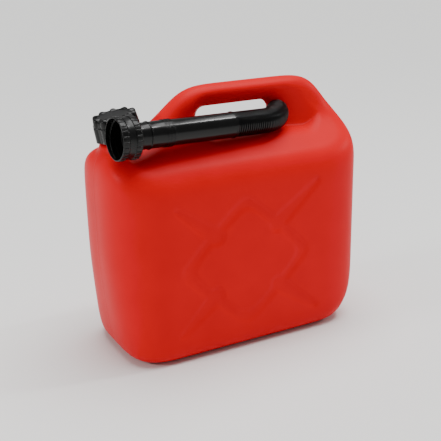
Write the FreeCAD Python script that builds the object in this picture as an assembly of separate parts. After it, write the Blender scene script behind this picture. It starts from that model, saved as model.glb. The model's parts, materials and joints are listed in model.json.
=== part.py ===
import FreeCAD, Part
import math
import os

# A ten litre plastic jerry can for fuel, with its filler cap and a flexible pouring spout
# that is stored along the handle. Millimetres. +X runs along the can away from the filler
# neck, -Y is the side the spout lies on and +Z is up. The origin is under the can's middle.

V = FreeCAD.Vector

# ---- can, outside
length = 331.0
depth = 153.0
height = 308.0
wall = 2.2
end_radius = 64.0             # upright corners, seen from above
side_base_radius = 22.0       # bottom edge along the two long sides
right_base_radius = 70.0      # bottom corner at the end away from the filler
left_base_radius = 26.0       # bottom corner under the filler
left_lean = 11.0              # how far the filler end leans in towards its foot
left_lean_height = 130.0
left_lean_radius = 300.0

# ---- can, shoulders up to the handle
handle_width = 33.2
shoulder_height = 221.5       # where the long sides turn in
shoulder_slope = 34.5         # degrees above level
shoulder_radius = 38.0
right_slant_height = 247.3
right_slant = 50.6            # degrees above level
right_slant_radius = 58.0
deck_height = 240.0           # filler deck, at its outer corner
deck_slope = 17.0
deck_radius = 32.0
deck_run = 59.0
left_slant = 39.5
foot_radius = 90.0
left_top_radius = 55.0
right_top_radius = 36.0
top_edge_radius = 11.0
corner_clear = 1.0            # least straight run left between two corners of a section

# ---- how finely the can's curved sides are divided into level sections
base_sections = 7
side_sections = (0.0, 0.5, 0.86, 1.0)   # shares of the way up the plain part of the sides
upper_sections = 22
crown_sections = 4

# ---- finger opening through the handle, narrowest at the middle plane
hole_left = -39.0
hole_right = 63.0
hole_floor = 249.0
hole_top = 284.0
hole_radius = 12.0
hole_land = 4.0               # width of the straight part at the middle plane
flare_left = 8.0
flare_right = 42.0
flare_top = 14.0
flare_radius = 20.0

# ---- filler neck, along its own axis from the deck
neck_x = -129.5
neck_tilt = 10.0
neck_radius = 20.0
neck_bore = 16.5
neck_height = 26.8
boss_height = 6.0
boss_radius = 22.5
boss_foot_radius = 31.0
boss_depth = 12.0

# ---- the screw thread shared by the neck, the cap and the spout's nut
thread_pitch = 6.0
thread_starts = 2
thread_height = 1.7
thread_root = 2.6
thread_crest = 1.4
thread_bottom = 13.0
thread_length = 12.0
thread_gap = 0.4              # crest of one thread to the root of the other
root_bury = 0.3
cut_past = 1.0                # how far a cutter runs on past the face it leaves by

# ---- filler cap: an inner screw cap, its seal, and a press-and-turn outer shell
seal_thickness = 1.2
seal_gap = 0.05
cap_wall = 1.3
cap_plate = 1.6
plate_gap = 4.2               # between the two plates before the shell is pressed
shell_gap = 0.4
shell_wall = 1.8
shell_plate = 2.8
shell_skirt = 8.8             # height of the shell's lower rim above the deck
shell_bead = 1.4
lobe_count = 10
lobe_radius = 5.0
lobe_stand = 1.2              # how far a lobe stands out of the shell
dish_radius = 17.0
dish_depth = 1.4
lug_count = 4
lug_angle = 34.0
lug_inner = 12.0
lug_outer = 19.0
lug_height = 2.0              # two lugs pass at rest and engage when the shell is pressed

# ---- where the spout lies
spout_start = V(-145.0, -51.5, 269.8)
spout_end = V(40.0, -39.0, 264.8)

# ---- spout, along its own axis from the middle of its nut
nut_back = -12.0
nut_front = 11.0
nut_plate = 2.2
nut_wall = 1.3
nut_rib_count = 12
nut_rib_radius = 2.2
nut_rib_stand = 0.6
tube_radius = 14.7
tube_wall = 2.0
tube_gap = 0.4
collar_radius = 20.2
collar_thickness = 2.4
bead_stand = 0.8
bead_width = 1.8
bead_first = 25.5
bead_row = 44.5
bead_pitch = 4.1
bead_count = 3                # in the row; one more stands alone behind it
bellows_start = 136.0
bellows_pitch = 3.0
bellows_folds = 14
bellows_depth = 1.7
bellows_wall = 1.2
fold_flank = 0.2              # shares of the pitch: each sloping flank and each flat
bend_radius = 38.0
bend_angle = 52.0
bend_rise = 10.5              # tilt of the bend's plane above level
bend_parts = 4
joint_gap = 0.3
nozzle_length = 17.0
nozzle_radius = 12.0
nozzle_shoulder = 5.0
nozzle_slope = 1.5            # length of the step down to the nozzle's own radius


def tan(angle):
    return math.tan(math.radians(angle))


# An upright outline is a run of corners (across, up, radius), each rounded by an arc.
def pieces(corners):
    """The straight runs and arcs of an outline, as functions of height."""
    found = []
    last = V(corners[0][0], corners[0][1], 0)
    for i in range(1, len(corners) - 1):
        here = V(corners[i][0], corners[i][1], 0)
        before = (V(corners[i - 1][0], corners[i - 1][1], 0) - here).normalize()
        after = (V(corners[i + 1][0], corners[i + 1][1], 0) - here).normalize()
        half = before.getAngle(after) / 2
        reach = corners[i][2] / math.tan(half)
        start = here + before * reach
        end = here + after * reach
        centre = here + (before + after).normalize() * (corners[i][2] / math.sin(half))
        side = 1 if (start - centre).x + (end - centre).x > 0 else -1
        found.append((last, start, None, 0, 0))
        found.append((start, end, centre, corners[i][2], side))
        last = end
    found.append((last, V(corners[-1][0], corners[-1][1], 0), None, 0, 0))
    return found


def across(outline, z):
    """How far out the outline is at a height."""
    for start, end, centre, radius, side in outline:
        if z <= end.y + 1e-9 and end.y - start.y > 1e-9:
            if centre is None:
                return start.x + (end.x - start.x) * (z - start.y) / (end.y - start.y)
            drop = radius * radius - (z - centre.y) ** 2
            return centre.x + side * math.sqrt(max(drop, 0.0))
    return outline[-1][1].x


def inset(corners, skin):
    """The same outline moved inwards by a skin; it runs from the base up to the top."""
    moved = []
    sign = 1 if corners[1][0] > 0 else -1
    for i, (x, z, radius) in enumerate(corners):
        ahead = V(corners[min(i + 1, len(corners) - 1)][0], corners[min(i + 1, len(corners) - 1)][1], 0)
        back = V(corners[max(i - 1, 0)][0], corners[max(i - 1, 0)][1], 0)
        here = V(x, z, 0)
        into = (here - back) if i else (ahead - here)
        out = (ahead - here) if i < len(corners) - 1 else (here - back)
        into.normalize()
        out.normalize()
        n1 = V(-into.y, into.x, 0) * sign
        n2 = V(-out.y, out.x, 0) * sign
        middle = (n1 + n2).normalize()
        shift = middle * (skin / middle.dot(n1))
        turn = into.cross(out).z * sign
        moved.append((x + shift.x, z + shift.y, radius - skin if turn > 0 else radius + skin))
    return moved


half_length = length / 2
half_depth = depth / 2
handle_half = handle_width / 2
shoulder_end = shoulder_height + (half_depth - handle_half) * tan(shoulder_slope)
foot_x = -half_length + deck_run
foot_z = deck_height + deck_run * tan(deck_slope)
left_top_x = foot_x + (height - foot_z) / tan(left_slant)
right_top_x = half_length - (height - right_slant_height) / tan(right_slant)

side_corners = [(0.0, 0.0, 0), (half_depth, 0.0, side_base_radius),
                (half_depth, shoulder_height, shoulder_radius),
                (handle_half, shoulder_end, shoulder_radius),
                (handle_half, height, top_edge_radius), (0.0, height, 0)]
right_corners = [(0.0, 0.0, 0), (half_length, 0.0, right_base_radius),
                 (half_length, right_slant_height, right_slant_radius),
                 (right_top_x, height, right_top_radius), (0.0, height, 0)]
left_corners = [(0.0, 0.0, 0), (-half_length + left_lean, 0.0, left_base_radius),
                (-half_length, left_lean_height, left_lean_radius),
                (-half_length, deck_height, deck_radius),
                (foot_x, foot_z, foot_radius),
                (left_top_x, height, left_top_radius), (0.0, height, 0)]


def levels(low, high):
    """Heights of the sections: close together at the base and where the shoulders turn."""
    found = []
    for i in range(base_sections + 1):
        turn = math.radians(i * 90.0 / base_sections)
        found.append(low + right_base_radius * (1 - math.cos(turn)))
    plain_top = shoulder_height - shoulder_radius / 2
    found += [left_lean_height + (plain_top - left_lean_height) * s for s in side_sections]
    top = high - top_edge_radius
    start = found[-1]
    found += [start + (top - start) * (i + 1) / upper_sections for i in range(upper_sections)]
    for i in range(crown_sections):
        turn = math.radians((i + 1) * 90.0 / crown_sections)
        found.append(top + top_edge_radius * math.sin(turn))
    return found


def section(z, sides, rights, lefts, radius):
    """One level section of the can: a rectangle with round corners."""
    b = across(sides, z)
    x1 = across(rights, z)
    x0 = across(lefts, z)
    r = min(radius, b - corner_clear, (x1 - x0) / 2 - corner_clear)
    return rounded_loop(x0, x1, -b, b, r, V(0, 0, z), V(1, 0, 0), V(0, 1, 0))


def rounded_loop(a0, a1, b0, b1, r, origin, a_way, b_way):
    """A rectangle with round corners in the plane of two directions."""
    def at(a, b):
        return origin + a_way * a + b_way * b
    edges = []
    q = r * math.sqrt(0.5)
    spots = [(a1 - r, b0 + r, 1, -1), (a1 - r, b1 - r, 1, 1),
             (a0 + r, b1 - r, -1, 1), (a0 + r, b0 + r, -1, -1)]
    turns = [((0, -1), (1, 0)), ((1, 0), (0, 1)), ((0, 1), (-1, 0)), ((-1, 0), (0, -1))]
    ends = []
    for (ca, cb, sa, sb), (t0, t1) in zip(spots, turns):
        start = at(ca + t0[0] * r, cb + t0[1] * r)
        middle = at(ca + sa * q, cb + sb * q)
        end = at(ca + t1[0] * r, cb + t1[1] * r)
        ends.append((start, middle, end))
    for i in range(4):
        edges.append(Part.Arc(*ends[i]).toShape())
        edges.append(Part.LineSegment(ends[i][2], ends[(i + 1) % 4][0]).toShape())
    return Part.Wire(edges)


def tank(skin):
    """The whole outside of the can, or the space inside a skin."""
    sides = pieces(inset(side_corners, skin))
    rights = pieces(inset(right_corners, skin))
    lefts = pieces(inset(left_corners, skin))
    rings = [section(z, sides, rights, lefts, end_radius - skin)
             for z in levels(skin, height - skin)]
    return Part.makeLoft(rings, True, True)


def opening(grow):
    """The finger opening, flared from a narrow land at the middle plane to both faces."""
    x_way = V(1, 0, 0)
    z_way = V(0, 0, 1)
    inner = (hole_left - grow, hole_right + grow, hole_floor - grow, hole_top + grow,
             hole_radius + grow)
    outer = (hole_left - flare_left - grow, hole_right + flare_right + grow,
             hole_floor - grow, hole_top + flare_top + grow, flare_radius + grow)
    half_land = hole_land / 2
    land = Part.Face(rounded_loop(*inner, V(0, -half_land, 0), x_way, z_way))
    result = land.extrude(V(0, hole_land, 0))
    for side in (-1, 1):
        near = rounded_loop(*inner, V(0, side * half_land, 0), x_way, z_way)
        far = rounded_loop(*outer, V(0, side * handle_half, 0), x_way, z_way)
        flare = Part.makeLoft([near, far], True, True)
        mouth = Part.Face(far).extrude(V(0, side * half_depth / 2, 0))
        result = result.fuse([flare, mouth])
    return result

# ---- turned pieces stand on their own +Z axis and are placed afterwards
def turned(points):
    """A solid turned about Z from a closed run of (radius, height) points."""
    loop = [V(r, 0, z) for r, z in points]
    return Part.Face(Part.makePolygon(loop + loop[:1])).revolve(V(0, 0, 0), V(0, 0, 1), 360)


def pipe(outside, inside, low, high):
    return turned([(inside, low), (outside, low), (outside, high), (inside, high)])


def rod(radius, low, high, x=0.0, y=0.0):
    return Part.makeCylinder(radius, high - low, V(x, y, low))


def ring_of(make, count, first=0.0):
    """Copies of one shape spaced evenly round Z."""
    found = []
    for i in range(count):
        one = make()
        one.rotate(V(0, 0, 0), V(0, 0, 1), first + 360.0 * i / count)
        found.append(one)
    return found


def ridges(root, crest, bottom, first):
    """The ridges of the screw thread, one for each start."""
    lead = thread_pitch * thread_starts

    def one():
        loop = [V(root, 0, -thread_root / 2), V(crest, 0, -thread_crest / 2),
                V(crest, 0, thread_crest / 2), V(root, 0, thread_root / 2)]
        outline = Part.makePolygon(loop + loop[:1])
        path = Part.Wire(Part.makeHelix(lead, thread_length, root).Edges)
        ridge = path.makePipeShell([outline], True, True)
        ridge.translate(V(0, 0, bottom))
        return ridge
    return ring_of(one, thread_starts, first)


thread_outer = neck_radius + thread_height
socket_radius = thread_outer + thread_gap       # bore of the cap and of the nut
socket_crest = socket_radius - thread_height
mesh_turn = 180.0 / thread_starts               # sets the socket's ridges midway between
screw_radius = socket_radius + cap_wall
shell_inner = screw_radius + shell_gap
shell_outer = shell_inner + shell_wall
seal_low = neck_height + seal_gap
seal_high = seal_low + seal_thickness
plate_low = seal_high + seal_gap
plate_high = plate_low + cap_plate
shell_low = plate_high + plate_gap
shell_high = shell_low + shell_plate
screw_skirt = shell_skirt + shell_bead + shell_gap
neck_z = deck_height + (half_length + neck_x) * tan(deck_slope)


def neck():
    """The filler neck and the raised foot it stands on, moulded with the can."""
    foot = Part.makeCone(boss_foot_radius, boss_radius, boss_depth + boss_height,
                         V(0, 0, -boss_depth))
    tube = rod(neck_radius, -boss_depth, neck_height)
    threads = ridges(neck_radius - root_bury, thread_outer, thread_bottom, 0.0)
    return foot.fuse([tube] + threads)


def canister():
    body = tank(0.0).fuse(on_neck(neck()))
    body = body.cut(opening(0.0))
    body = body.cut(tank(wall).cut(opening(wall)))
    bore = on_neck(rod(neck_bore, -2 * boss_depth, neck_height + cut_past))
    return body.cut(bore)


def cap_screw():
    """The threaded inner cap, with lugs on top for the shell to engage."""
    body = turned([(0, plate_low), (socket_radius, plate_low), (socket_radius, screw_skirt),
                   (screw_radius, screw_skirt), (screw_radius, plate_high), (0, plate_high)])
    threads = ridges(socket_radius + root_bury, socket_crest, thread_bottom, mesh_turn)
    lug_top = plate_high + lug_height
    return body.fuse(threads + ring_of(lambda: lug(plate_high - root_bury, lug_top), lug_count))


def lug(low, high):
    """A wedge of a ring, one of the drive lugs."""
    whole = pipe(lug_outer, lug_inner, low, high)
    half = math.radians(lug_angle / 2)
    reach = 2 * lug_outer
    far = [V(reach * math.cos(half), -reach * math.sin(half), low),
           V(reach * math.cos(half), reach * math.sin(half), low)]
    loop = [V(0, 0, low)] + far + [V(0, 0, low)]
    return whole.common(Part.Face(Part.makePolygon(loop)).extrude(V(0, 0, high - low)))


def cap_shell():
    """The lobed outer shell: pressed down, its own lugs drop between the screw cap's."""
    bead_low = shell_skirt
    bead_inner = screw_radius - shell_gap
    body = turned([(0, shell_low), (shell_inner, shell_low), (shell_inner, bead_low + shell_bead),
                   (bead_inner, bead_low + shell_bead), (bead_inner, bead_low),
                   (shell_outer, bead_low), (shell_outer, shell_high), (0, shell_high)])
    lobe_place = shell_outer + lobe_stand - lobe_radius
    lobes = ring_of(lambda: rod(lobe_radius, bead_low, shell_high, lobe_place), lobe_count)
    body = body.fuse(lobes)
    body = body.cut(rod(shell_inner, bead_low + shell_bead, shell_low))
    body = body.cut(rod(bead_inner, bead_low - cut_past, bead_low + shell_bead + cut_past))
    body = body.cut(rod(dish_radius, shell_high - dish_depth, shell_high + cut_past))
    between = 180.0 / lug_count
    return body.fuse(ring_of(lambda: lug(shell_low - lug_height, shell_low + root_bury),
                             lug_count, between))


def cap_seal():
    return pipe(socket_crest, neck_bore + seal_gap, seal_low, seal_high)


# ---- the spout stands on +Z too; its bend turns towards +Y and a little up
collar_high = nut_front - nut_plate - seal_gap
collar_low = collar_high - collar_thickness
spout_seal_low = collar_low - seal_gap - seal_thickness
nut_outer = socket_radius + nut_wall
bellows_root = tube_radius - bellows_depth
bellows_end = bellows_start + bellows_folds * bellows_pitch
bend_step = bend_angle / bend_parts


def spout_nut():
    """The union nut: it turns freely round the tube, behind the tube's collar."""
    plate_low = nut_front - nut_plate
    body = turned([(socket_radius, nut_back), (nut_outer, nut_back), (nut_outer, nut_front),
                   (tube_radius + tube_gap, nut_front), (tube_radius + tube_gap, plate_low),
                   (socket_radius, plate_low)])
    rib_place = nut_outer + nut_rib_stand - nut_rib_radius
    third = (nut_front - nut_back) / 3
    ribs = []
    for low in (nut_back, nut_front - third):
        ribs += ring_of(lambda: rod(nut_rib_radius, low, low + third, rib_place), nut_rib_count)
    bore = rod(socket_radius, nut_back, plate_low)
    ribs = [rib.cut(bore) for rib in ribs]
    threads = ridges(socket_radius + root_bury, socket_crest, nut_back + thread_root, 0.0)
    return body.fuse(ribs + threads)


def spout_seal():
    return pipe(socket_crest, neck_bore + seal_gap, spout_seal_low,
                spout_seal_low + seal_thickness)


def spout_tube():
    """The stiff tube, with its collar at the nut and the grip beads along it."""
    inside = tube_radius - tube_wall
    body = pipe(tube_radius, inside, collar_low, bellows_start)
    rings = [pipe(collar_radius, tube_radius - root_bury, collar_low, collar_high)]
    for low in [bead_first] + [bead_row + i * bead_pitch for i in range(bead_count)]:
        rings.append(pipe(tube_radius + bead_stand, tube_radius - root_bury, low, low + bead_width))
    return body.fuse(rings)


def folds(low, count):
    """A corrugated wall: one ridge and one groove to each fold."""
    outer = [(bellows_root, low)]
    step = fold_flank * bellows_pitch
    for i in range(count):
        base = low + i * bellows_pitch
        outer += [(bellows_root, base + step), (tube_radius, base + 2 * step),
                  (tube_radius, base + 3 * step), (bellows_root, base + 4 * step)]
    outer.append((bellows_root, low + count * bellows_pitch))
    inner = [(r - bellows_wall, z) for r, z in reversed(outer)]
    return turned(outer + inner)


def along_bend(angle):
    """A point of the bend's centre line and its direction, in the spout's own frame."""
    a = math.radians(angle)
    point = V(0, 0, bellows_end) + bend_way * (bend_radius * (1 - math.cos(a)))
    point += V(0, 0, 1) * (bend_radius * math.sin(a))
    return point, V(0, 0, 1) * math.cos(a) + bend_way * math.sin(a)


def turned_to(shape, point, way):
    shape.Placement = FreeCAD.Placement(point, FreeCAD.Rotation(V(0, 0, 1), way))
    return shape


def fold_piece(number):
    """One part of the bend, mitred where it meets its neighbours."""
    middle = (number + 0.5) * bend_step
    half = math.radians(bend_step / 2)
    point, way = along_bend(middle)
    reach = (bend_radius + tube_radius) * math.tan(half) + cut_past
    wall_piece = pipe(bellows_root, bellows_root - bellows_wall, -reach, reach)
    flat = fold_flank * bellows_pitch / 2
    foot = 3 * flat
    ribs = []
    for centre in (-bellows_pitch / 2, bellows_pitch / 2):
        ribs.append(turned([(bellows_root - root_bury, centre - foot), (bellows_root, centre - foot),
                            (tube_radius, centre - flat), (tube_radius, centre + flat),
                            (bellows_root, centre + foot),
                            (bellows_root - root_bury, centre + foot)]))
    tube = turned_to(wall_piece.fuse(ribs), point, way)
    centre = V(0, 0, bellows_end) + bend_way * bend_radius
    outward = (point - centre).normalize()
    apex = centre + outward * (joint_gap / 2 / math.sin(half))
    far = 2 * (bend_radius + tube_radius)
    tall = 2 * tube_radius
    loop = [apex, apex + (outward * math.cos(half) + way * math.sin(half)) * far,
            apex + (outward * math.cos(half) - way * math.sin(half)) * far]
    loop = [p - bend_axis * tall for p in loop]
    wedge = Part.Face(Part.makePolygon(loop + loop[:1])).extrude(bend_axis * (2 * tall))
    return tube.common(wedge)


def spout_nozzle():
    point, way = along_bend(bend_angle)
    bore = bellows_root - bellows_wall
    tip_bore = nozzle_radius - tube_wall
    low = joint_gap / 2
    body = turned([(bore, low), (bellows_root, low), (bellows_root, nozzle_shoulder),
                   (nozzle_radius, nozzle_shoulder + nozzle_slope), (nozzle_radius, nozzle_length),
                   (tip_bore, nozzle_length), (tip_bore, nozzle_shoulder), (bore, nozzle_shoulder)])
    return turned_to(body, point, way)


# ---- placing
neck_place = FreeCAD.Placement(V(neck_x, 0, neck_z), FreeCAD.Rotation(V(0, 1, 0), -neck_tilt))
spout_way = (spout_end - spout_start).normalize()
spout_side = V(0, 0, 1).cross(spout_way).normalize()
spout_up = spout_way.cross(spout_side)
spout_place = FreeCAD.Placement(spout_start, FreeCAD.Rotation(spout_up * -1, spout_side,
                                                              spout_way, "ZYX"))
rise = math.radians(bend_rise)
bend_way = V(-math.sin(rise), math.cos(rise), 0)
bend_axis = V(0, 0, 1).cross(bend_way)


def on_neck(shape):
    shape.Placement = neck_place.multiply(shape.Placement)
    return shape


def on_spout(shape):
    shape.Placement = spout_place.multiply(shape.Placement)
    return shape


def main():
    os.makedirs("parts", exist_ok=True)
    made = {"canister": canister(),
            "filler_cap_screw": on_neck(cap_screw()),
            "filler_cap_shell": on_neck(cap_shell()),
            "filler_cap_seal": on_neck(cap_seal()),
            "spout_nut": on_spout(spout_nut()),
            "spout_seal": on_spout(spout_seal()),
            "spout_tube": on_spout(spout_tube()),
            "spout_bellows": on_spout(folds(bellows_start, bellows_folds))}
    for i in range(bend_parts):
        made["spout_fold_%d" % (i + 1)] = on_spout(fold_piece(i))
    made["spout_nozzle"] = on_spout(spout_nozzle())
    for name, shape in made.items():
        shape.exportStep("parts/" + name + ".step")
        print(name, len(shape.Solids), shape.isValid(), round(shape.Volume / 1000, 2))


main()
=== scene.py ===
import math

import bpy
import bmesh
import numpy as np
import openvdb
from mathutils import Matrix, Vector
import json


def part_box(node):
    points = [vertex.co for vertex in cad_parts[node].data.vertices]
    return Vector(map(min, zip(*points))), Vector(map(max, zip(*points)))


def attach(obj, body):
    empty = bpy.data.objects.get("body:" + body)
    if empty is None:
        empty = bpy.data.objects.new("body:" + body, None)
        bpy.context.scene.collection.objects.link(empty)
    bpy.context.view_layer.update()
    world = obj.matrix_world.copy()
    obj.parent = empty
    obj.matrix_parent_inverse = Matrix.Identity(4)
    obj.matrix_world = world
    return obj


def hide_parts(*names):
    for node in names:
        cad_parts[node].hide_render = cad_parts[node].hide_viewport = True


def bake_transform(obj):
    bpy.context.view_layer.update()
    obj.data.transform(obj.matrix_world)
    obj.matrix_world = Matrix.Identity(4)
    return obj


# A ten litre plastic fuel can with its filler cap and the flexible spout stored along the handle.
# Shapes below are written in millimetres and built in metres.

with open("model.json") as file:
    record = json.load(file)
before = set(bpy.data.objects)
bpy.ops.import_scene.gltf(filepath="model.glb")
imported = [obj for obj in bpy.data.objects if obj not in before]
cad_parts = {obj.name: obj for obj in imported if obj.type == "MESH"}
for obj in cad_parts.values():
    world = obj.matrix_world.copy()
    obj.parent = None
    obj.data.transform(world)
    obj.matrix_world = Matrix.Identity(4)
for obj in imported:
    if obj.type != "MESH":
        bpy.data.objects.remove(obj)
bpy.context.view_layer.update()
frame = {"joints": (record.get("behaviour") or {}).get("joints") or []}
joints = {j["name"]: j for j in frame["joints"]}
mm = 0.001


def toLinear(hexColour, alpha=1.0):
    channels = [int(hexColour[i:i + 2], 16) / 255 for i in (1, 3, 5)]
    return tuple(c / 12.92 if c <= 0.04045 else ((c + 0.055) / 1.055) ** 2.4
                 for c in channels) + (alpha,)


def addNode(tree, kind, inputs=None, **settings):
    node = tree.nodes.new(kind)
    for name, value in settings.items():
        setattr(node, name, value)
    for key, value in (inputs or {}).items():
        if isinstance(value, bpy.types.NodeSocket):
            tree.links.new(value, node.inputs[key])
        else:
            node.inputs[key].default_value = value
    return node


# camera, light and floor
cameraSet = {"azimuth": -28.13, "elevation": 18.9, "roll": -1.2, "distance": 1.0243,
             "target": (-0.0048, 0.0, 0.1377), "lens": 67.8, "sensor": 36.0}


def makeCamera(values):
    turn, lift, roll = (math.radians(values[k]) for k in ("azimuth", "elevation", "roll"))
    back = Vector((math.sin(turn) * math.cos(lift), -math.cos(turn) * math.cos(lift),
                   math.sin(lift)))
    level = Vector((math.cos(turn), math.sin(turn), 0))
    upright = back.cross(level)
    right = level * math.cos(roll) + upright * math.sin(roll)
    up = upright * math.cos(roll) - level * math.sin(roll)
    data = bpy.data.cameras.new("camera")
    data.lens = values["lens"]
    data.sensor_width = values["sensor"]
    camera = bpy.data.objects.new("camera", data)
    bpy.context.scene.collection.objects.link(camera)
    place = Vector(values["target"]) + back * values["distance"]
    camera.matrix_world = Matrix.Translation(place) @ Matrix((right, up, back)).transposed().to_4x4()
    bpy.context.scene.camera = camera


lightSet = {"sky": ((0.15, 0.06, 1.0), 50.0, 3.9), "left": ((-1.7, 0.1, 0.9), 0.3, 12.0),
            "right": ((1.6, -0.35, 0.9), 0.2, 4.5), "strip": ((0.62, -0.22, 1.35), 0.06, 3.0),
            "world": ("#FFFFFF", 0.32), "aimHeight": 0.15,
            "floorHalf": 12.0, "floorColour": "#E6E6E4", "floorRoughness": 0.9}


def makeLight(name, kind, place, size, power):
    data = bpy.data.lights.new(name, kind)
    if kind == "SUN":
        data.angle = math.radians(size)
    else:
        data.size = size
    data.energy = power
    light = bpy.data.objects.new(name, data)
    bpy.context.scene.collection.objects.link(light)
    light.location = place
    aim = Vector(place) - Vector((0, 0, lightSet["aimHeight"] if kind == "AREA" else 0))
    light.rotation_euler = aim.to_track_quat("Z", "Y").to_euler()


def makeStage(values):
    for name, kind in (("sky", "SUN"), ("left", "AREA"), ("right", "AREA"), ("strip", "AREA")):
        makeLight(name, kind, *values[name])
    world = bpy.data.worlds.new("studio")
    world.use_nodes = True
    background = world.node_tree.nodes["Background"]
    background.inputs["Color"].default_value = toLinear(values["world"][0])
    background.inputs["Strength"].default_value = values["world"][1]
    bpy.context.scene.world = world
    half = values["floorHalf"]
    mesh = bpy.data.meshes.new("floor")
    mesh.from_pydata([(-half, -half, 0), (half, -half, 0), (half, half, 0), (-half, half, 0)], [],
                     [(0, 1, 2, 3)])
    floor = bpy.data.objects.new("floor", mesh)
    bpy.context.scene.collection.objects.link(floor)
    paint = bpy.data.materials.new("palePaperSweep")
    paint.use_nodes = True
    shader = paint.node_tree.nodes["Principled BSDF"]
    shader.inputs["Base Color"].default_value = toLinear(values["floorColour"])
    shader.inputs["Roughness"].default_value = values["floorRoughness"]
    mesh.materials.append(paint)


makeCamera(cameraSet)
makeStage(lightSet)
print("camera, light and floor made")


# materials
def newMaterial(name):
    material = bpy.data.materials.new(name)
    material.use_nodes = True
    tree = material.node_tree
    return material, tree, tree.nodes["Principled BSDF"]


hdpeSet = {"colour": "#DC0416", "deep": "#D00312", "roughness": 0.4,
           "roughDown": 0.04, "roughUp": 0.05, "ior": 1.52,
           "gloss": 0.06,  # well under the real plastic's, so that the red stays saturated
           "peel": 2.6, "peelHeight": 0.02, "wave": 38.0, "waveHeight": 0.25,
           "seamWidth": 0.9, "seamHeight": 0.35}  # pattern sizes are in mm


def redHdpe(values):
    # blow-moulded HDPE: satin, faintly rippled where it cooled against the mould, a flash line
    # round the middle plane where the two halves of the mould met
    material, tree, shader = newMaterial("redHdpeBlowMoulded")
    place = addNode(tree, "ShaderNodeTexCoord").outputs["Object"]
    wave = addNode(tree, "ShaderNodeTexNoise", {"Vector": place, "Scale": 1000 / values["wave"],
                                                "Detail": 2.0, "Roughness": 0.4})
    peel = addNode(tree, "ShaderNodeTexNoise", {"Vector": place, "Scale": 1000 / values["peel"],
                                                "Detail": 3.0, "Roughness": 0.5})
    tint = addNode(tree, "ShaderNodeMix", {"Factor": wave.outputs["Fac"],
                                           "A": toLinear(values["colour"]),
                                           "B": toLinear(values["deep"])}, data_type="RGBA")
    tree.links.new(tint.outputs["Result"], shader.inputs["Base Color"])
    rough = addNode(tree, "ShaderNodeMapRange", {"Value": peel.outputs["Fac"],
                                                 "To Min": values["roughness"] - values["roughDown"],
                                                 "To Max": values["roughness"] + values["roughUp"]})
    tree.links.new(rough.outputs["Result"], shader.inputs["Roughness"])
    split = addNode(tree, "ShaderNodeSeparateXYZ", {"Vector": place})
    away = addNode(tree, "ShaderNodeMath", {0: split.outputs["Y"]}, operation="ABSOLUTE")
    seam = addNode(tree, "ShaderNodeMapRange", {"Value": away.outputs["Value"], "From Min": 0.0,
                                                "From Max": values["seamWidth"] * mm,
                                                "To Min": 1.0, "To Max": 0.0},
                   interpolation_type="SMOOTHSTEP")
    bumps = None
    for source, height in ((wave.outputs["Fac"], values["waveHeight"]),
                           (peel.outputs["Fac"], values["peelHeight"]),
                           (seam.outputs["Result"], values["seamHeight"])):
        inputs = {"Height": source, "Distance": height * mm, "Strength": 1.0}
        if bumps is not None:
            inputs["Normal"] = bumps.outputs["Normal"]
        bumps = addNode(tree, "ShaderNodeBump", inputs)
    tree.links.new(bumps.outputs["Normal"], shader.inputs["Normal"])
    shader.inputs["IOR"].default_value = values["ior"]
    shader.inputs["Specular IOR Level"].default_value = values["gloss"]
    return material


blackSet = {"colour": "#040404", "grey": "#080808", "gloss": 0.27, "ior": 1.5,
            "roughDown": 0.06, "roughUp": 0.08, "grain": 0.8, "cloud": 14.0}
finishSet = {"cap": (0.27, 0.015), "tube": (0.2, 0.006), "rubber": (0.75, 0.01),
             "rubberColour": "#121212"}  # roughness, and height of the grain in mm


def blackPlastic(name, values, roughness, grainHeight):
    # carbon-black polyethylene: near black, semi-gloss, with the fine grain of a used mould
    material, tree, shader = newMaterial(name)
    place = addNode(tree, "ShaderNodeTexCoord").outputs["Object"]
    grain = addNode(tree, "ShaderNodeTexNoise", {"Vector": place, "Scale": 1000 / values["grain"],
                                                 "Detail": 3.0, "Roughness": 0.6})
    cloud = addNode(tree, "ShaderNodeTexNoise", {"Vector": place, "Scale": 1000 / values["cloud"],
                                                 "Detail": 3.0})
    tint = addNode(tree, "ShaderNodeMix", {"Factor": cloud.outputs["Fac"],
                                           "A": toLinear(values["colour"]),
                                           "B": toLinear(values["grey"])}, data_type="RGBA")
    tree.links.new(tint.outputs["Result"], shader.inputs["Base Color"])
    rough = addNode(tree, "ShaderNodeMapRange", {"Value": cloud.outputs["Fac"],
                                                 "To Min": roughness - values["roughDown"],
                                                 "To Max": roughness + values["roughUp"]})
    tree.links.new(rough.outputs["Result"], shader.inputs["Roughness"])
    bump = addNode(tree, "ShaderNodeBump", {"Height": grain.outputs["Fac"], "Strength": 1.0,
                                            "Distance": grainHeight * mm})
    tree.links.new(bump.outputs["Normal"], shader.inputs["Normal"])
    shader.inputs["IOR"].default_value = values["ior"]
    shader.inputs["Specular IOR Level"].default_value = values["gloss"]
    return material


canRed = redHdpe(hdpeSet)
capBlack = blackPlastic("blackPolyethyleneMoulded", blackSet, *finishSet["cap"])
tubeBlack = blackPlastic("blackPolyethyleneExtruded", blackSet, *finishSet["tube"])
# moulded nitrile rubber: the same black, dull and a little greyer
rubberSet = {**blackSet, "colour": finishSet["rubberColour"]}
sealBlack = blackPlastic("nitrileRubberMoulded", rubberSet, *finishSet["rubber"])
print("materials made")


# helpers for meshes
def makeObject(name, points, faces, material, smooth=True):
    mesh = bpy.data.meshes.new(name)
    mesh.from_pydata([tuple(p) for p in points], [], [tuple(f) for f in faces])
    mesh.materials.append(material)
    mesh.polygons.foreach_set("use_smooth", [smooth] * len(mesh.polygons))
    mesh.update()
    piece = bpy.data.objects.new(name, mesh)
    bpy.context.scene.collection.objects.link(piece)
    return piece


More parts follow.
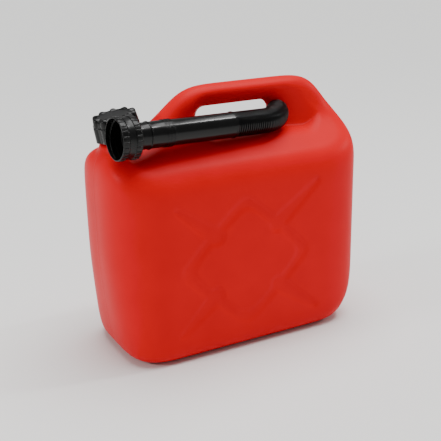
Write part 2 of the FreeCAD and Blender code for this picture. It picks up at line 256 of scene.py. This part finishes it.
def facesOutward(piece):
    work = bmesh.new()
    work.from_mesh(piece.data)
    bmesh.ops.remove_doubles(work, verts=work.verts, dist=1e-6)
    bmesh.ops.recalc_face_normals(work, faces=work.faces)
    work.to_mesh(piece.data)
    work.free()
    return piece


def axisFrame(origin, along, side):
    # columns are the local X, Y and Z of a turned piece that stands on Z
    z = Vector(along).normalized()
    x = (Vector(side) - z * z.dot(Vector(side))).normalized()
    y = z.cross(x)
    return Matrix.Translation(Vector(origin)) @ Matrix((x, y, z)).transposed().to_4x4()


# the can: a smooth closed form, measured as a distance and then meshed
canSet = {"side": ((-152.5, -5), (119.5, -5), (170, 46.5), (170, 244), (115, 317), (-43.5, 317),
                   (-114, 253.5), (-170, 242.5), (-170, 120)),
          "end": ((-81, -5), (81, -5), (81, 219), (17.3, 262), (17.3, 317), (-17.3, 317),
                  (-17.3, 262), (-81, 219)),
          "sideSoft": 15.4, "endSoft": 12.4, "halfPlan": (170.0, 81.2), "planCorner": 70.8,
          "edgeSoft": 20.6, "voxel": 2.4, "wall": 2.5, "chamber": 58.0}

holeSet = {"left": -36.5, "right": 62.0, "floor": 248.5, "top": 283.0, "corner": 12.0,
           "flareLeft": 8.0, "flareRight": 40.0, "flareTop": 14.0, "flareCorner": 9.0,
           "land": 2.0, "flareDepth": 14.6, "flareMost": 1.35, "ease": 1.25, "lip": 7.0}

neckSet = {"radius": 20.0, "bore": 16.5, "height": 26.8, "footRadius": 31.0,
           "footTop": 22.5, "footHeight": 5.6, "footDepth": 12.0, "footSoft": 4.0,
           "capClear": 27.8, "capLow": 6.0, "capSoft": 1.5,
           "threadBottom": 13.0, "lead": 12.0, "threadHeight": 1.7, "threadStarts": 2,
           "threadTurns": 1.0, "threadWidth": 2.6, "threadBury": 0.3}

neckFoot = Vector(joints["cap_turn"]["pos_m"]) / mm
neckAxis = Vector(joints["cap_turn"]["axis"])


def softOutline(points, soft, step=1.0, margin=48.0):
    # gives the distance to a closed outline, blurred so that its corners turn round
    points = np.array(points, float)
    low = points.min(0) - margin
    counts = ((points.max(0) + margin - low) / step).astype(int) + 2
    u = low[0] + step * np.arange(counts[0])[:, None]
    v = low[1] + step * np.arange(counts[1])[None, :]
    nearest = np.full(counts, 1e9)
    inside = np.zeros(counts, bool)
    for a, b in zip(points, np.roll(points, -1, axis=0)):
        e = b - a
        t = np.clip(((u - a[0]) * e[0] + (v - a[1]) * e[1]) / (e @ e), 0, 1)
        nearest = np.minimum(nearest, np.hypot(u - a[0] - t * e[0], v - a[1] - t * e[1]))
        side = e[0] * (v - a[1]) - e[1] * (u - a[0])
        upward = (a[1] <= v) & (b[1] > v) & (side > 0)
        downward = (a[1] > v) & (b[1] <= v) & (side < 0)
        inside ^= upward | downward
    field = np.where(inside, -nearest, nearest)
    reach = int(3 * soft / step)
    kernel = np.exp(-0.5 * (np.arange(-reach, reach + 1) * step / soft) ** 2)
    kernel /= kernel.sum()
    for axis in (0, 1):
        pad = [(reach, reach) if k == axis else (0, 0) for k in (0, 1)]
        padded = np.pad(field, pad, mode="reflect", reflect_type="odd")
        field = np.apply_along_axis(lambda row: np.convolve(row, kernel, "valid"), axis, padded)

    def distance(u, v):
        a = np.clip((u - low[0]) / step, 0, field.shape[0] - 1.001)
        b = np.clip((v - low[1]) / step, 0, field.shape[1] - 1.001)
        i, j = a.astype(int), b.astype(int)
        s, t = a - i, b - j
        return ((field[i, j] * (1 - t) + field[i, j + 1] * t) * (1 - s)
                + (field[i + 1, j] * (1 - t) + field[i + 1, j + 1] * t) * s)

    return distance


def softMax(a, b, soft):
    h = np.clip(0.5 + 0.5 * (a - b) / soft, 0, 1)
    return b + (a - b) * h + soft * h * (1 - h)


def softMin(a, b, soft):
    return -softMax(-a, -b, soft)


def roundedBox(u, v, uMiddle, vMiddle, uHalf, vHalf, corner):
    a = np.abs(u - uMiddle) - (uHalf - corner)
    b = np.abs(v - vMiddle) - (vHalf - corner)
    return np.hypot(np.maximum(a, 0), np.maximum(b, 0)) + np.minimum(np.maximum(a, b), 0) - corner


def canField(values, hole, neck):
    side = softOutline(values["side"], values["sideSoft"])
    end = softOutline(values["end"], values["endSoft"])

    def outside(x, y, z):
        plan = roundedBox(x, y, 0, 0, *values["halfPlan"], values["planCorner"])
        return softMax(softMax(side(x, z), plan, values["edgeSoft"]), end(y, z), values["edgeSoft"])

    def fingerHole(x, y, z):
        depth = (np.abs(y) - hole["land"]) / hole["flareDepth"]
        flare = np.clip(depth, 0, hole["flareMost"]) ** hole["ease"]
        left = hole["left"] - hole["flareLeft"] * flare
        right = hole["right"] + hole["flareRight"] * flare
        top = hole["top"] + hole["flareTop"] * flare
        corner = hole["corner"] + hole["flareCorner"] * flare
        return roundedBox(x, z, (left + right) / 2, (hole["floor"] + top) / 2,
                          (right - left) / 2, (top - hole["floor"]) / 2, corner)

    def field(p):
        x, y, z = p.T
        d = softMax(outside(x, y, z), -fingerHole(x, y, z), hole["lip"])
        offset = p - np.array(neckFoot)
        along = offset @ np.array(neckAxis)
        away = np.linalg.norm(offset - along[:, None] * np.array(neckAxis), axis=1)
        share = np.clip((along + neck["footDepth"]) / (neck["footDepth"] + neck["footHeight"]), 0, 1)
        underCap = np.maximum(away - neck["capClear"], neck["capLow"] - along)
        d = softMax(d, -underCap, neck["capSoft"])
        cone = away - (neck["footRadius"] + (neck["footTop"] - neck["footRadius"]) * share)
        foot = np.maximum(np.maximum(cone, along - neck["footHeight"]), -along - neck["footDepth"])
        d = softMin(d, foot, neck["footSoft"])
        hollow = np.maximum(outside(x, y, z) + values["wall"],
                            np.hypot(away, along + values["chamber"] / 2) - values["chamber"])
        hollow = np.maximum(hollow, values["wall"] - fingerHole(x, y, z))
        bore = np.maximum(away - neck["bore"], -along - 3 * neck["footDepth"])
        return np.maximum(d, -np.minimum(hollow, bore))

    return field


def meshField(field, low, high, voxel):
    # sample on a grid, take the zero surface, then slide each point onto the exact surface
    axes = [np.arange(low[k] - 3 * voxel, high[k] + 3 * voxel, voxel) for k in range(3)]
    shape = [len(a) for a in axes]
    samples = np.empty(shape, np.float32)
    for i, x in enumerate(axes[0]):
        y, z = np.meshgrid(axes[1], axes[2], indexing="ij")
        layer = np.stack([np.full(y.size, x), y.ravel(), z.ravel()], 1)
        samples[i] = field(layer).reshape(shape[1:])
    grid = openvdb.FloatGrid(float(3 * voxel))
    grid.copyFromArray(np.clip(samples, -3 * voxel, 3 * voxel))
    points, triangles, quads = grid.convertToPolygons(0.0, 0.0)
    points = points.astype(float) * voxel + np.array([a[0] for a in axes])
    for attempt in range(3):
        here = field(points)
        slope = np.stack([field(points + step) - field(points - step)
                          for step in 0.4 * np.eye(3)], 1) / 0.8
        size = np.maximum((slope * slope).sum(1), 0.2)
        shift = -here / size
        points += slope * np.clip(shift, -voxel / 2, voxel / 2)[:, None]
    faces = [tuple(t) for t in triangles.tolist()] + [tuple(q) for q in quads.tolist()]
    return points, slope, faces


reliefSet = {"middle": (-11.0, 111.0), "half": (76.0, 71.0), "width": 5.0, "soft": 2.6,
             "depth": 1.2, "round": 10.0, "flatFrom": 0.9, "flatOver": 0.08, "faceFrom": 60,
             "arms": (((-98, 186), (-50, 148)), ((86, 194), (30, 150)),
                      ((-96, 36), (-52, 76)), ((84, 34), (32, 74)))}


def faceRelief(values, x, z):
    # channels in both long faces: a rounded diamond, and four arms that widen towards it
    u = (x - values["middle"][0]) / values["half"][0]
    v = (z - values["middle"][1]) / values["half"][1]
    ease = values["round"] / values["half"][0]
    reach = np.sqrt(u * u + ease * ease) + np.sqrt(v * v + ease * ease) - 1 - ease
    scale = values["half"][0] * values["half"][1] / np.hypot(*values["half"])
    lines = np.abs(reach * scale) - values["width"]
    for start, end in values["arms"]:
        a, b = np.array(start, float), np.array(end, float)
        t = np.clip(((x - a[0]) * (b - a)[0] + (z - a[1]) * (b - a)[1]) / ((b - a) @ (b - a)), 0, 1)
        arm = np.hypot(x - a[0] - t * (b - a)[0], z - a[1] - t * (b - a)[1])
        lines = np.minimum(lines, arm - values["width"] * (0.7 + 1.3 * t))
    t = np.clip(0.5 - lines / (2 * values["soft"]), 0, 1)
    return values["depth"] * t * t * (3 - 2 * t)


def makeCan(values, hole, neck, relief):
    field = canField(values, hole, neck)
    low, high = (np.array(v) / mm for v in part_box("canister"))
    points, slope, faces = meshField(field, low - 6, high + 6, values["voxel"])
    slope /= np.linalg.norm(slope, axis=1)[:, None]
    flat = np.clip((np.abs(slope[:, 1]) - relief["flatFrom"]) / relief["flatOver"], 0, 1)
    outer = np.abs(points[:, 1]) > relief["faceFrom"]
    sink = faceRelief(relief, points[:, 0], points[:, 2]) * flat * outer
    lowNow, highNow = points.min(0), points.max(0)
    scale = (high - low - 0.1) / (highNow - lowNow)
    points[:, 1] -= np.sign(points[:, 1]) * sink
    print("can form spans", lowNow.round(2), highNow.round(2), "stretch", scale.round(4))
    points = (points - (lowNow + highNow) / 2) * scale + (low + high) / 2
    piece = makeObject("can_shell", points * mm, faces, canRed)
    return facesOutward(piece)


canShell = makeCan(canSet, holeSet, neckSet, reliefSet)
print("can shell made,", len(canShell.data.polygons), "faces")


# pieces turned about their own axis, and threads
neckPlace = axisFrame(neckFoot * mm, neckAxis, (1, 0, 0))
spoutStart = Vector(joints["nut_spin"]["pos_m"])
spoutWay = Vector(joints["nut_spin"]["axis"])
spoutUp = spoutWay.cross(Vector((0, 0, 1)).cross(spoutWay).normalized())
spoutPlace = axisFrame(spoutStart, spoutWay, -spoutUp)


def roundCorners(corners, steps=5):
    # a closed run of (radius out, height, corner radius, more...) with each corner rounded
    found = []
    count = len(corners)
    for i, corner in enumerate(corners):
        here = Vector(corner[:2])
        extra = tuple(corner[3:])
        if corner[2] <= 0:
            found.append(tuple(here) + extra)
            continue
        back = (Vector(corners[i - 1][:2]) - here).normalized()
        ahead = (Vector(corners[(i + 1) % count][:2]) - here).normalized()
        half = back.angle(ahead) / 2
        reach = corner[2] / math.tan(half)
        middle = here + (back + ahead).normalized() * (corner[2] / math.sin(half))
        start, end = here + back * reach - middle, here + ahead * reach - middle
        for k in range(steps + 1):
            t = k / steps
            sweep = start.angle(end)
            way = start * math.sin((1 - t) * sweep) + end * math.sin(t * sweep)
            found.append(tuple(middle + way / math.sin(sweep)) + extra)
    return found


def turnedMesh(profile, steps, outline=None):
    # turns a closed profile about Z; outline(angle) gives how far each point is pushed out and down
    points, faces, rings = [], [], []
    for entry in profile:
        radius, height = entry[0], entry[1]
        push = entry[2:] or (0, 0)
        if radius < 1e-6:
            rings.append([len(points)])
            points.append((0, 0, height))
            continue
        ring = []
        for k in range(steps):
            angle = 2 * math.pi * k / steps
            lobe = outline(angle) if outline else 0
            r = radius + push[0] * lobe
            ring.append(len(points))
            points.append((r * math.cos(angle), r * math.sin(angle), height - push[1] * (1 - lobe)))
        rings.append(ring)
    for i, ring in enumerate(rings):
        other = rings[(i + 1) % len(rings)]
        if len(ring) == 1 and len(other) == 1:
            continue
        for k in range(steps):
            n = (k + 1) % steps
            if len(ring) == 1:
                faces.append((ring[0], other[k], other[n]))
            elif len(other) == 1:
                faces.append((ring[k], other[0], ring[n]))
            else:
                faces.append((ring[k], other[k], other[n], ring[n]))
    return points, faces


def placed(points, place):
    return [place @ (Vector(p) * mm) for p in points]


def threadMesh(root, crest, bottom, lead, turns, starts, width, steps=72):
    # the raised screw thread: a wedge carried up a helix, running out to nothing at both ends
    points, faces = [], []
    total = int(steps * turns)
    for s in range(starts):
        first = len(points)
        for k in range(total + 1):
            angle = 2 * math.pi * (k / steps + s / starts)
            fade = min(1, k / 6, (total - k) / 6)
            height = bottom + lead * k / steps
            tip = root + (crest - root) * max(fade, 0.02)
            for r, dz in ((root, -width / 2), (tip, -width / 4 * fade), (tip, width / 4 * fade),
                          (root, width / 2)):
                points.append((r * math.cos(angle), r * math.sin(angle), height + dz))
        for k in range(total):
            a = first + 4 * k
            for j in range(4):
                m = (j + 1) % 4
                faces.append((a + j, a + m, a + 4 + m, a + 4 + j))
        faces.append((first + 3, first + 2, first + 1, first))
        last = first + 4 * total
        faces.append((last, last + 1, last + 2, last + 3))
    return points, faces


def joined(*meshes):
    points, faces = [], []
    for somePoints, someFaces in meshes:
        base = len(points)
        points += list(somePoints)
        faces += [tuple(i + base for i in f) for f in someFaces]
    return points, faces


def sharpen(piece, angle=40):
    piece.data.set_sharp_from_angle(angle=math.radians(angle))
    return piece


def makeNeck(values):
    bore, outer, top = values["bore"], values["radius"], values["height"]
    profile = roundCorners([(bore, -18, 0), (outer, -18, 0), (outer, top, 0.9), (bore, top, 0.9)])
    tube = turnedMesh(profile, 128)
    ridge = threadMesh(outer - values["threadBury"], outer + values["threadHeight"],
                       values["threadBottom"], values["lead"], values["threadTurns"],
                       values["threadStarts"], values["threadWidth"])
    points, faces = joined(tube, ridge)
    return sharpen(facesOutward(makeObject("filler_neck", placed(points, neckPlace), faces, canRed)))


# the lobed outer shell of the filler cap
capSet = {"outer": 24.7, "inner": 23.8, "low": 8.8, "beadInner": 23.0, "beadHeight": 1.4,
          "plateLow": 33.9, "high": 36.2, "lobes": 10, "lobeStand": 2.1, "lobeRadius": 6.4,
          "groove": 26.6, "grooveDepth": 1.5, "grooveHalf": 1.1, "topInset": 1.6, "dish": 15.5,
          "dishDepth": 1.3, "scallop": 2.2}


def makeCapShell(values):
    stand, lobe = values["lobeStand"], values["lobeRadius"]
    centre = values["outer"] + stand - lobe

    def petal(angle):
        turn = 2 * math.pi / values["lobes"]
        away = (angle + turn / 2) % turn - turn / 2
        side = centre * math.sin(away)
        if abs(side) > lobe:
            return 0.0
        reach = centre * math.cos(away) + math.sqrt(lobe * lobe - side * side) - values["outer"]
        soft = 0.5
        h = min(max(0.5 + 0.5 * reach / soft, 0), 1)
        return (reach * h + soft * h * (1 - h)) / stand

    out, low, high = values["outer"], values["low"], values["high"]
    ring, half = values["groove"], values["grooveHalf"]
    drop = values["scallop"]
    topOut = out - values["topInset"]
    profile = roundCorners([
        (0, values["plateLow"], 0, 0, 0), (values["inner"] - 1.5, values["plateLow"], 0.6, 0, 0),
        (values["inner"] - 1.5, ring, 0.2, 0, 0), (values["inner"], ring - 2, 0.6, 0, 0),
        (values["inner"], low + values["beadHeight"], 0.2, 0, 0),
        (values["beadInner"], low + values["beadHeight"], 0.2, 0, 0),
        (values["beadInner"], low, 0.3, 0, 0), (out, low, 0.7, stand, 0),
        (out, ring - half, 0.9, stand, 0),
        (out - values["grooveDepth"] + 0.6, ring, 0.3, stand * 0.8, 0),
        (topOut + 0.8, ring + half, 0.8, stand, 0), (topOut, high, 3.2, stand, drop),
        (values["dish"] + 2.5, high, 1.5, 0, drop * 0.3),
        (values["dish"], high - values["dishDepth"], 1.0, 0, 0),
        (0, high - values["dishDepth"], 0, 0, 0)], 5)
    points, faces = turnedMesh(profile, 300, petal)
    return facesOutward(makeObject("cap_shell", placed(points, neckPlace), faces, capBlack))


# the union nut: two ribbed bands with a waist between them
nutSet = {"back": -12.0, "front": 11.0, "bore": 22.1, "band": 23.4, "waist": 22.8,
          "bandLength": 7.6, "plate": 1.95, "hole": 15.1, "ribs": 24, "ribRadius": 1.0,
          "ribStand": 0.65, "threadLow": 3.0}


def ribTree():
    # a ring of ribs with rounded ends, standing on a radius
    tree = bpy.data.node_groups.new("ribsRoundABand", "GeometryNodeTree")
    face = tree.interface
    face.new_socket("Geometry", in_out="INPUT", socket_type="NodeSocketGeometry")
    sockets = {}
    for name, kind in (("Ring Radius", "Float"), ("Rib Radius", "Float"), ("Low", "Float"),
                       ("Length", "Float"), ("Count", "Int"), ("Material", "Material")):
        sockets[name] = face.new_socket(name, in_out="INPUT",
                                        socket_type="NodeSocket" + kind).identifier
    face.new_socket("Geometry", in_out="OUTPUT", socket_type="NodeSocketGeometry")
    given = addNode(tree, "NodeGroupInput").outputs
    lowPoint = addNode(tree, "ShaderNodeCombineXYZ", {"Z": given["Low"]})
    top = addNode(tree, "ShaderNodeMath", {0: given["Low"], 1: given["Length"]}, operation="ADD")
    highPoint = addNode(tree, "ShaderNodeCombineXYZ", {"Z": top.outputs[0]})
    line = addNode(tree, "GeometryNodeCurvePrimitiveLine", {"Start": lowPoint.outputs[0],
                                                            "End": highPoint.outputs[0]})
    fine = addNode(tree, "GeometryNodeResampleCurve", {"Curve": line.outputs[0], "Count": 25})
    along = addNode(tree, "GeometryNodeSplineParameter")
    centred = addNode(tree, "ShaderNodeMath", {0: along.outputs["Factor"], 1: 0.5},
                      operation="SUBTRACT")
    far = addNode(tree, "ShaderNodeMath", {0: centred.outputs[0]}, operation="ABSOLUTE")
    double = addNode(tree, "ShaderNodeMath", {0: far.outputs[0], 1: 2.0}, operation="MULTIPLY")
    power = addNode(tree, "ShaderNodeMath", {0: double.outputs[0], 1: 9.0}, operation="POWER")
    left = addNode(tree, "ShaderNodeMath", {0: 1.0, 1: power.outputs[0]}, operation="SUBTRACT")
    root = addNode(tree, "ShaderNodeMath", {0: left.outputs[0]}, operation="SQRT")
    size = addNode(tree, "ShaderNodeMath", {0: root.outputs[0], 1: 0.12}, operation="MAXIMUM")
    outline = addNode(tree, "GeometryNodeCurvePrimitiveCircle", {"Resolution": 20,
                                                                 "Radius": given["Rib Radius"]})
    rib = addNode(tree, "GeometryNodeCurveToMesh", {"Curve": fine.outputs[0],
                                                    "Profile Curve": outline.outputs[0],
                                                    "Scale": size.outputs[0],
                                                    "Fill Caps": True})
    circle = addNode(tree, "GeometryNodeMeshCircle", {"Vertices": given["Count"],
                                                      "Radius": given["Ring Radius"]})
    ring = addNode(tree, "GeometryNodeInstanceOnPoints", {"Points": circle.outputs[0],
                                                          "Instance": rib.outputs[0]})
    real = addNode(tree, "GeometryNodeRealizeInstances", {"Geometry": ring.outputs[0]})
    smooth = addNode(tree, "GeometryNodeSetShadeSmooth", {"Geometry": real.outputs[0]})
    paint = addNode(tree, "GeometryNodeSetMaterial", {"Geometry": smooth.outputs[0],
                                                      "Material": given["Material"]})
    addNode(tree, "NodeGroupOutput", {"Geometry": paint.outputs[0]})
    return tree, sockets


def grown(name, tree, sockets, inputs, start=None):
    # runs a node tree and returns the plain mesh it makes
    holder = start or makeObject(name + "_seed", [], [], capBlack)
    modifier = holder.modifiers.new("grow", "NODES")
    modifier.node_group = tree
    for key, value in inputs.items():
        modifier[sockets[key]] = value
    depsgraph = bpy.context.evaluated_depsgraph_get()
    mesh = bpy.data.meshes.new_from_object(holder.evaluated_get(depsgraph), depsgraph=depsgraph)
    bpy.data.objects.remove(holder)
    return mesh


def meshParts(mesh, scale=1.0):
    return ([tuple(v.co * scale) for v in mesh.vertices],
            [tuple(p.vertices) for p in mesh.polygons])


def makeNut(values):
    back, front, long = values["back"], values["front"], values["bandLength"]
    bore, band, waist = values["bore"], values["band"], values["waist"]
    profile = roundCorners([
        (bore, back, 0.3), (band, back, 0.9), (band, back + long, 0.9), (waist, back + long, 0.5),
        (waist, front - long, 0.5), (band, front - long, 0.9), (band, front, 1.3),
        (values["hole"], front, 0.4), (values["hole"], front - values["plate"], 0.2),
        (bore, front - values["plate"], 0.4)], 4)
    body = turnedMesh(profile, 168)
    thread = threadMesh(bore + neckSet["threadBury"], bore - neckSet["threadHeight"],
                        back + values["threadLow"], neckSet["lead"], neckSet["threadTurns"],
                        neckSet["threadStarts"], neckSet["threadWidth"])
    tree, sockets = ribTree()
    parts = [body, thread]
    for low in (back + 0.3, front - long + 0.3):
        mesh = grown("nut_ribs", tree, sockets, {
            "Ring Radius": band + values["ribStand"] - values["ribRadius"],
            "Rib Radius": values["ribRadius"], "Low": low, "Length": long - 0.6,
            "Count": values["ribs"], "Material": capBlack})
        parts.append(meshParts(mesh))
    points, faces = joined(*parts)
    return sharpen(facesOutward(makeObject("union_nut", placed(points, spoutPlace), faces, capBlack)))


# the stiff tube of the spout, with its grip rings
tubeSet = {"high": 136.0, "radius": 14.7, "wall": 2.0, "collar": 20.2,
           "collarLow": 6.35, "collarHigh": 8.75, "ringStand": 0.8, "ringWidth": 2.0,
           "rings": (25.5, 44.5, 48.6, 52.7), "endRing": 133.6}


def makeTube(values):
    r, bore = values["radius"], values["radius"] - values["wall"]
    corners = [(bore, values["collarLow"], 0.3), (values["collar"], values["collarLow"], 0.4),
               (values["collar"], values["collarHigh"], 0.4), (r, values["collarHigh"], 0.4)]
    for low in values["rings"] + (values["endRing"],):
        tall, wide = values["ringStand"], values["ringWidth"]
        corners += [(r, low, 0.3), (r + tall, low + 0.5, 0.35), (r + tall, low + wide - 0.5, 0.35),
                    (r, low + wide, 0.3)]
    corners += [(r, values["high"], 0.05), (bore, values["high"], 0.05)]
    points, faces = turnedMesh(roundCorners(corners, 4), 96)
    return sharpen(facesOutward(makeObject("spout_barrel", placed(points, spoutPlace), faces,
                                           tubeBlack)))


# the corrugated end of the spout, one piece across each joint of its bend
foldSet = {"start": 136.0, "straight": 178.0, "pitch": 3.0, "root": 13.0, "depth": 1.7,
           "wall": 1.1, "bendRadius": 38.0, "bendAngle": 52.0, "parts": 4, "rise": 10.5,
           "lead": 6.0, "nozzleLap": 6.0, "sides": 72}


def bendPoint(values, s):
    # centre line of the spout in its own frame, by distance along it from the nut
    turnWay = Vector((-math.sin(math.radians(values["rise"])),
                      math.cos(math.radians(values["rise"])), 0))
    if s <= values["straight"]:
        return Vector((0, 0, s)), Vector((0, 0, 1))
    whole = math.radians(values["bendAngle"])
    angle = min((s - values["straight"]) / values["bendRadius"], whole)
    way = Vector((0, 0, math.cos(angle))) + turnWay * math.sin(angle)
    point = (Vector((0, 0, values["straight"] + values["bendRadius"] * math.sin(angle)))
             + turnWay * (values["bendRadius"] * (1 - math.cos(angle))))
    past = s - values["straight"] - values["bendRadius"] * whole
    return point + way * max(past, 0), way


def foldTree():
    # a hose whose radius swells and shrinks with the distance along its path
    tree = bpy.data.node_groups.new("corrugatedHose", "GeometryNodeTree")
    face = tree.interface
    face.new_socket("Geometry", in_out="INPUT", socket_type="NodeSocketGeometry")
    sockets = {}
    for name, kind in (("Pitch", "Float"), ("Root Radius", "Float"), ("Depth", "Float"),
                       ("Offset", "Float"), ("Sides", "Int"), ("Material", "Material")):
        sockets[name] = face.new_socket(name, in_out="INPUT",
                                        socket_type="NodeSocket" + kind).identifier
    face.new_socket("Geometry", in_out="OUTPUT", socket_type="NodeSocketGeometry")
    given = addNode(tree, "NodeGroupInput").outputs
    along = addNode(tree, "GeometryNodeSplineParameter")
    shifted = addNode(tree, "ShaderNodeMath", {0: along.outputs["Length"], 1: given["Offset"]},
                      operation="ADD")
    turns = addNode(tree, "ShaderNodeMath", {0: shifted.outputs[0], 1: given["Pitch"]},
                    operation="DIVIDE")
    phase = addNode(tree, "ShaderNodeMath", {0: turns.outputs[0], 1: 2 * math.pi},
                    operation="MULTIPLY")
    wave = addNode(tree, "ShaderNodeMath", {0: phase.outputs[0]}, operation="COSINE")
    crisp = addNode(tree, "ShaderNodeMapRange", {"Value": wave.outputs[0], "From Min": -0.75,
                                                 "From Max": 0.75, "To Min": 1.0, "To Max": 0.0},
                    interpolation_type="SMOOTHSTEP")
    rise = addNode(tree, "ShaderNodeMath", {0: crisp.outputs["Result"], 1: given["Depth"],
                                            2: given["Root Radius"]}, operation="MULTIPLY_ADD")
    outline = addNode(tree, "GeometryNodeCurvePrimitiveCircle", {"Resolution": given["Sides"],
                                                                 "Radius": 1.0})
    skin = addNode(tree, "GeometryNodeCurveToMesh", {"Curve": given["Geometry"],
                                                     "Profile Curve": outline.outputs[0],
                                                     "Scale": rise.outputs[0]})
    real = addNode(tree, "GeometryNodeRealizeInstances", {"Geometry": skin.outputs[0]})
    smooth = addNode(tree, "GeometryNodeSetShadeSmooth", {"Geometry": real.outputs[0]})
    paint = addNode(tree, "GeometryNodeSetMaterial", {"Geometry": smooth.outputs[0],
                                                      "Material": given["Material"]})
    addNode(tree, "NodeGroupOutput", {"Geometry": paint.outputs[0]})
    return tree, sockets


def foldedLength(name, tree, sockets, values, start, end):
    count = int((end - start) / 0.25) + 1
    curve = bpy.data.curves.new(name + "_path", "CURVE")
    curve.dimensions = "3D"
    spline = curve.splines.new("POLY")
    spline.points.add(count)
    for k in range(count + 1):
        point, way = bendPoint(values, start + (end - start) * k / count)
        spline.points[k].co = tuple(point) + (1,)
    holder = bpy.data.objects.new(name + "_path", curve)
    bpy.context.scene.collection.objects.link(holder)
    mesh = grown(name, tree, sockets, {
        "Pitch": values["pitch"], "Root Radius": values["root"], "Depth": values["depth"],
        "Offset": start - values["start"], "Sides": values["sides"], "Material": tubeBlack}, holder)
    points, faces = meshParts(mesh)
    piece = facesOutward(makeObject(name, placed(points, spoutPlace), faces, tubeBlack))
    skin = piece.modifiers.new("wall", "SOLIDIFY")
    skin.thickness = values["wall"] * mm
    skin.offset = -1
    skin.use_rim = True
    return piece


def makeFolds(values):
    tree, sockets = foldTree()
    arc = values["bendRadius"] * math.radians(values["bendAngle"])
    step = arc / values["parts"]
    first = values["straight"] - values["lead"]
    last = values["straight"] + arc + values["nozzleLap"]
    marks = ([first] + [values["straight"] + step * (k + 0.5) for k in range(values["parts"])]
             + [last])
    straight = foldedLength("hose_straight", tree, sockets, values, values["start"], first)
    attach(straight, "spout")
    pieces = [straight]
    for k in range(values["parts"] + 1):
        piece = foldedLength("hose_bend_%d" % (k + 1), tree, sockets, values, marks[k], marks[k + 1])
        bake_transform(piece)
        pieces.append(piece)
    return pieces


nozzleSet = {"start": 5.6, "end": 17.0, "radius": 13.6, "tip": 12.4, "wall": 1.8, "lip": 0.9}


def makeNozzle(values, folds):
    arc = folds["straight"] + folds["bendRadius"] * math.radians(folds["bendAngle"])
    point, way = bendPoint(folds, arc)
    place = spoutPlace @ axisFrame(point * mm, way, (1, 0, 0))
    r, tip, wall = values["radius"], values["tip"], values["wall"]
    corners = [(r - wall, values["start"], 0.1), (r, values["start"], 0.4),
               (r, values["start"] + 5, 2.0), (tip, values["end"] - 2.2, 1.5),
               (tip + 0.5, values["end"] - 1.8, 0.4), (tip + 0.5, values["end"], values["lip"]),
               (tip - wall, values["end"], 0.6)]
    points, faces = turnedMesh(roundCorners(corners, 5), 96)
    return sharpen(facesOutward(makeObject("pouring_tip", placed(points, place), faces,
                                           tubeBlack)))


filler = makeNeck(neckSet)
capShell = makeCapShell(capSet)
print("filler neck and cap shell made")
unionNut = makeNut(nutSet)
spoutBarrel = makeTube(tubeSet)
print("union nut and spout barrel made")
hoseFolds = makeFolds(foldSet)
pouringTip = makeNozzle(nozzleSet, foldSet)
print("corrugated hose made in", len(hoseFolds), "pieces")


# bodies and the CAD parts that stay: each rebuilt piece hangs under its body and hides the CAD parts
# it replaces, and the CAD parts that stay get new materials
for piece, body, slot, nodes in (
        (canShell, "can", "red_hdpe", ["canister"]), (filler, "can", "red_hdpe", []),
        (capShell, "cap_shell", "black_cap_plastic", ["filler_cap_shell"]),
        (unionNut, "nut", "black_spout_plastic", ["spout_nut"]),
        (spoutBarrel, "spout", "black_spout_plastic", ["spout_tube"]),
        (pouringTip, "nozzle", "black_spout_plastic", ["spout_nozzle"])):
    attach(piece, body)
    if nodes:
        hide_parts(*nodes)
for k, piece in enumerate(hoseFolds):
    if k == 0:
        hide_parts("spout_bellows")
    elif k <= foldSet["parts"]:
        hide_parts("spout_fold_%d" % k)

for node, material in (("filler_cap_screw", capBlack), ("filler_cap_seal", sealBlack),
                       ("spout_seal", sealBlack)):
    part = bpy.data.objects[node]
    part.data.materials.clear()
    part.data.materials.append(material)
